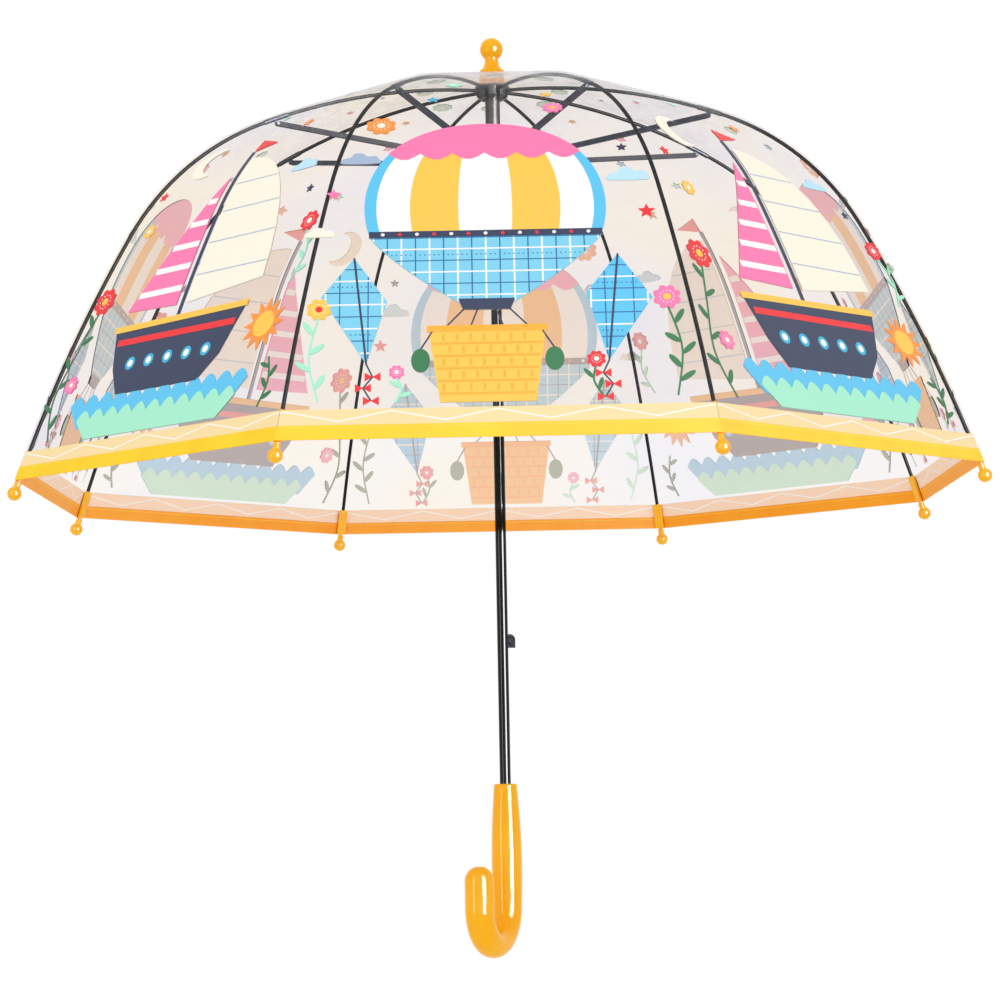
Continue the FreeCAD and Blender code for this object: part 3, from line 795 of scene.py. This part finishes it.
def buildPrints(designs, material):
    # every printed shape, laid on the gores and shared out to the bands that carry it
    heaps = {}
    flats = [cutFlat(design) for design in designs]
    for gore in range(dome["ribCount"]):
        design = designs[gore % len(designs)]
        for index, x, y, corners in flats[gore % len(designs)]:
            rib = (gore + 1) % dome["ribCount"] if x > 0 else gore
            heap = heaps.setdefault((rib, bandOf(ribLength - y * millimetre)), {
                "points": [], "faces": [], "normals": [], "colours": [], "known": {}})
            for side in (1, -1):
                # the top ink faces out, and from inside it shows paler: partly its undercoat, partly painted light for
                # light coming through the ink
                face, leans = [], []
                for cx, cy, cz in corners:
                    key = (gore, side, index, round(cx, 4), round(cy, 4))
                    distance = ribLength - cy * millimetre
                    if key not in heap["known"]:
                        heap["known"][key] = len(heap["points"])
                        lift = side * (printing["clear"] + cz * printing["lift"])
                        heap["points"].append(gorePoint(gore, cx * millimetre, distance, lift))
                        colour = inkColour(design[index][1])
                        if side < 0:
                            colour = mixed(colour, paleUndercoatAndBacklight(design[index][1]), printing["ground"])
                        heap["colours"].append(colour)
                    if heap["known"][key] not in face:
                        face.append(heap["known"][key])
                        leans.append(tuple(goreNormal(gore, distance) * side))
                if len(face) > 2:
                    heap["faces"].append(face[::side])
                    heap["normals"] += leans[::side]
    prints = {}
    for (rib, band), heap in sorted(heaps.items()):
        piece = meshObject(f"print_{rib + 1}_{band + 1}", heap["points"], heap["faces"], material)
        colours = piece.data.color_attributes.new("inkColour", "FLOAT_COLOR", "POINT")
        colours.data.foreach_set("color", [value for colour in heap["colours"] for value in colour])
        piece.data.normals_split_custom_set(heap["normals"])
        prints[rib, band] = piece
    return prints


tape = {
    "height": 9.5 * millimetre,
    "leafOut": 0.45 * millimetre,      # outer face of each leaf, from the film's middle
    "leafIn": 0.20 * millimetre,
    "fold": 0.30 * millimetre,         # past the film's edge
    "crease": 0.2 * millimetre,        # from the film's edge up to the inside of the fold
    "stitchLine": 7.9 * millimetre,    # above the hem
    "stitchPitch": 3.4 * millimetre,
    "stitchLength": 2.5 * millimetre,
    "threadRadius": 0.22 * millimetre,
    "stitchNear": 0.004,               # where a run ends, as shares of the hem from a gore's middle to its rib
    "stitchFar": 0.985,
    "seed": 3,
}


def buildTape(rib, material):
    # one closed strip folded round the hem, mitred over the rib
    section = [
        (tape["height"], tape["leafOut"]), (tape["height"] / 2, tape["leafOut"] * 1.05), (0, tape["leafOut"]),
        (-tape["fold"] * 0.8, tape["leafOut"] * 0.6), (-tape["fold"], 0), (-tape["fold"] * 0.8, -tape["leafOut"] * 0.6),
        (0, -tape["leafOut"]), (tape["height"], -tape["leafOut"]), (tape["height"], -tape["leafIn"]),
        (tape["crease"], -tape["leafIn"]), (tape["crease"], tape["leafIn"]), (tape["height"], tape["leafIn"])]
    points, faces = [], []
    stops = 6
    for side, gore in ((0, (rib - 1) % dome["ribCount"]), (1, rib)):
        for n in range(stops + 1):
            if side == 1 and n == 0:
                continue
            for up, lift in section:
                distance = ribLength - up
                wide = goreSpan(distance, lift)
                share = n / stops if side == 0 else -(1 - n / stops)
                points.append(gorePoint(gore, wide * share, distance, lift))
    around = len(section)
    for n in range(2 * stops):
        for k in range(around):
            a, b = n * around + k, n * around + (k + 1) % around
            faces.append((a, a + around, b + around, b))
    faces.append(tuple(range(around)))
    faces.append(tuple(2 * stops * around + k for k in reversed(range(around))))
    piece = meshObject(f"hem_binding_{rib + 1}", points, faces, material, smooth=False)
    # marks the inner leaf, which the tape's finish paints in shade
    inner = [1.0 if 3 < k % around < 10 else 0.0 for k in range(len(points))]
    piece.data.attributes.new("shadedInnerLeaf", "FLOAT", "POINT").data.foreach_set("value", inner)
    sheet = bmesh.new()
    sheet.from_mesh(piece.data)
    bmesh.ops.recalc_face_normals(sheet, faces=sheet.faces[:])
    sheet.to_mesh(piece.data)
    sheet.free()
    return piece


stitchSizes = {"Pitch": tape["stitchPitch"], "Length": tape["stitchLength"], "Thread radius": tape["threadRadius"]}


def stitchTree(material):
    # stitches laid end to end along a line
    tree = bpy.data.node_groups.new("stitchRow", "GeometryNodeTree")
    face = tree.interface
    face.new_socket("Geometry", in_out="INPUT", socket_type="NodeSocketGeometry")
    for name, value in stitchSizes.items():
        face.new_socket(name, in_out="INPUT", socket_type="NodeSocketFloat").default_value = value
    face.new_socket("Seed", in_out="INPUT", socket_type="NodeSocketInt").default_value = tape["seed"]
    face.new_socket("Geometry", in_out="OUTPUT", socket_type="NodeSocketGeometry")
    source = addNode(tree, "NodeGroupInput")
    path = addNode(tree, "GeometryNodeMeshToCurve", links={"Mesh": source.outputs["Geometry"]})
    spaced = addNode(
        tree, "GeometryNodeResampleCurve", {"mode": "LENGTH"},
        {"Curve": path.outputs["Curve"], "Length": source.outputs["Pitch"]})
    thread = addNode(
        tree, "GeometryNodeMeshCylinder", {"Vertices": 5, "fill_type": "TRIANGLE_FAN"},
        {"Radius": source.outputs["Thread radius"], "Depth": source.outputs["Length"]})
    tangent = addNode(tree, "GeometryNodeInputTangent")
    turn = addNode(
        tree, "FunctionNodeAlignRotationToVector", {"axis": "Z"}, {"Vector": tangent.outputs["Tangent"]})
    loose = addNode(
        tree, "FunctionNodeRandomValue", {"data_type": "FLOAT", 2: 0.88, 3: 1.08}, {"Seed": source.outputs["Seed"]})
    laid = addNode(
        tree, "GeometryNodeInstanceOnPoints", links={
            "Points": spaced.outputs["Curve"], "Instance": thread.outputs["Mesh"],
            "Rotation": turn.outputs["Rotation"], "Scale": loose.outputs[1]})
    real = addNode(tree, "GeometryNodeRealizeInstances", links={"Geometry": laid.outputs["Instances"]})
    dressed = addNode(
        tree, "GeometryNodeSetMaterial", {"Material": material}, {"Geometry": real.outputs["Geometry"]})
    result = addNode(tree, "NodeGroupOutput")
    tree.links.new(dressed.outputs["Geometry"], result.inputs["Geometry"])
    return tree


def runTree(name, points, edges, tree, settings):
    # the tree's result as a plain mesh
    mesh = bpy.data.meshes.new(name)
    mesh.from_pydata([tuple(p) for p in points], edges, [])
    made = bpy.data.objects.new(name, mesh)
    bpy.context.scene.collection.objects.link(made)
    modifier = made.modifiers.new(name, "NODES")
    modifier.node_group = tree
    for item in tree.interface.items_tree:
        if item.in_out == "INPUT" and item.name in settings:
            modifier[item.identifier] = settings[item.name]
    bpy.context.view_layer.update()
    plain = bpy.data.meshes.new_from_object(made.evaluated_get(bpy.context.evaluated_depsgraph_get()))
    made.modifiers.clear()
    made.data = plain
    return made


def buildStitches(rib, tree):
    # one row outside and one inside, in runs that end at the rib
    points, edges = [], []
    near, far, stops = tape["stitchNear"], tape["stitchFar"], 4
    for lift in (tape["leafOut"], -tape["leafOut"]):
        for gore, start, end in (((rib - 1) % dome["ribCount"], near, far), (rib, -far, -near)):
            distance = ribLength - tape["stitchLine"]
            wide = goreSpan(distance, lift)
            first = len(points)
            for n in range(stops + 1):
                points.append(gorePoint(gore, wide * (start + (end - start) * n / stops), distance, lift))
            edges += [(first + n, first + n + 1) for n in range(stops)]
    return runTree(f"hem_stitches_{rib + 1}", points, edges, tree, stitchSizes | {"Seed": tape["seed"] + rib})


def buildCanopy():
    film = makeClearFilm()
    inkMaterial = makeInk()
    tapeMaterial = makeTape()
    bands = buildFilm(film)
    print("film:", len(bands), "bands")
    prints = buildPrints([hemBand() + balloonGore(), hemBand() + boatGore()], inkMaterial)
    print("prints:", len(prints), "pieces,", sum(len(p.data.polygons) for p in prints.values()), "faces")
    stitching = stitchTree(makeThread())
    for (rib, band), piece in bands.items():
        extra = []
        if (rib, band) in prints:
            extra.append(prints[rib, band])
        if band == bandCount - 1:
            binding = buildTape(rib, tapeMaterial)
            stitches = buildStitches(rib, stitching)
            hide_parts(f"hem_tape_{rib + 1}")
            extra += [binding, stitches]
        for item in [piece] + extra:
            bandFold(item, rib, band)
        if band == 0:
            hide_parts(f"canopy_panel_{rib + 1}")
        wide = 2 * halfWidth((band + 1) * dome["rowsPerBand"] * rowLength)
    print("canopy laid over", dome["ribCount"], "ribs")


def dressFrame():
    # finishes for the metal and moulded parts
    finishes = {
        "amber_plastic": makeAmber(),
        "tip_plastic": makeTipPlastic(),
        "shaft_steel": makeBlackEnamel(),
        "rib_wire": makeBlackLacquer(),
        "stretcher_steel": makeSlatePaint(),
        "clip_steel": makeSteel("Black-nickel pressed clip", "#1A1B1E", "#34373C", 0.32),
        "bright_wire": makeSteel("Bright galvanised tie wire", "#9A9DA0", "#C9CBCD", 0.3),
        "catch_steel": makeSteel("Blued spring strip", "#1B1C20", "#303238", 0.3),
        "black_plastic": makeBlackNylon(),
    }
    dressed = 0
    for entry in frame["record"]["subparts"]:
        if entry["material_slot"] in finishes:
            mesh = frame["nodes"][entry["node"]].data
            mesh.materials.clear()
            mesh.materials.append(finishes[entry["material_slot"]])
            dressed += 1
    print("finished", dressed, "solid parts")


# studio: the umbrella hangs above a pale floor
studio = {
    "floorHeight": -0.36,
    "floorRadius": 1.7,
    "floorSteps": 96,
    "worldFill": 0.92,
    # name, azimuth, distance, height, height aimed at, size and power; azimuth 0 is the camera's side
    "softboxes": (
        ("keySoftbox", -35, 2.6, 1.9, 0.3, (1.6, 1.2), 4.5),
        ("fillSoftbox", 50, 2.8, 0.9, 0.2, (1.4, 1.4), 2),
        ("lowFill", 5, 2.5, -0.25, 0.38, (1.8, 0.8), 4),
        ("backSoftbox", 170, 2.4, 1.6, 0.35, (1.4, 1.0), 6)),
    # tall strips that only show as lines of gloss, and small lamps that only show as dots of it
    "glossLamps": (
        ("rightStrip", 38, 2.2, 0.2, 0.2, (1.1, 2.6), 560),
        ("leftStrip", -44, 2.2, 0.2, 0.2, (0.3, 2.6), 40),
        ("leftSpark", -22, 2.3, 1.3, 0.4, (0.16, 0.16), 5),
        ("rightSpark", 14, 2.3, 1.3, 0.4, (0.16, 0.16), 5)),
}


def addLamp(name, azimuth, distance, height, aim, size, power):
    data = bpy.data.lights.new(name, "AREA")
    data.shape = "RECTANGLE"
    data.size, data.size_y = size
    data.energy = power
    lamp = bpy.data.objects.new(name, data)
    bpy.context.scene.collection.objects.link(lamp)
    turn = math.radians(camera["azimuth"] + azimuth)
    lamp.location = (math.sin(turn) * distance, -math.cos(turn) * distance, height)
    lamp.rotation_euler = (Vector((0, 0, aim)) - lamp.location).to_track_quat("-Z", "Y").to_euler()
    return lamp


def makeFloor():
    # painted board: flat white with a barely visible speck
    steps = studio["floorSteps"]
    turns = [2 * math.pi * i / steps for i in range(steps)]
    rim = [(studio["floorRadius"] * math.cos(t), studio["floorRadius"] * math.sin(t), studio["floorHeight"])
           for t in turns]
    material, tree, shader = newMaterial("Pale studio board", {"Roughness": 0.85, "Specular IOR Level": 0.0})
    addPattern(tree, shader, 0.01, 2.0, [(0.3, "#F3F2F0"), (0.7, "#F7F6F4")])
    floor = meshObject("floor", rim, [tuple(range(steps))], material, smooth=False)


def makeWorld():
    # even white fill, and plain white behind the umbrella, in its gloss and through its film
    world = bpy.data.worlds.new("studio")
    bpy.context.scene.world = world
    world.use_nodes = True
    tree = world.node_tree
    tree.nodes.clear()
    path = addNode(tree, "ShaderNodeLightPath")
    seen = addNode(tree, "ShaderNodeMath", {"operation": "MAXIMUM"}, {
        0: path.outputs["Is Camera Ray"], 1: path.outputs["Is Glossy Ray"]})
    clear = addNode(tree, "ShaderNodeMath", {"operation": "MAXIMUM"}, {
        0: seen.outputs[0], 1: path.outputs["Is Transmission Ray"]})
    fill = addNode(tree, "ShaderNodeBackground", {"Color": linear("#FFFFFF"), "Strength": studio["worldFill"]})
    white = addNode(tree, "ShaderNodeBackground", {"Color": linear("#FFFFFF"), "Strength": 1.0})
    both = addNode(tree, "ShaderNodeMixShader", links={
        0: clear.outputs[0], 1: fill.outputs[0], 2: white.outputs[0]})
    addNode(tree, "ShaderNodeOutputWorld", links={"Surface": both.outputs[0]})


def makeStudio():
    makeFloor()
    makeWorld()
    for entry in studio["softboxes"]:
        addLamp(*entry)
    for entry in studio["glossLamps"]:
        addLamp(*entry).visible_diffuse = False
    bpy.context.scene.view_settings.view_transform = "Standard"


makeCamera()
print("camera placed")
buildCanopy()
dressFrame()
makeStudio()
print("studio lit")
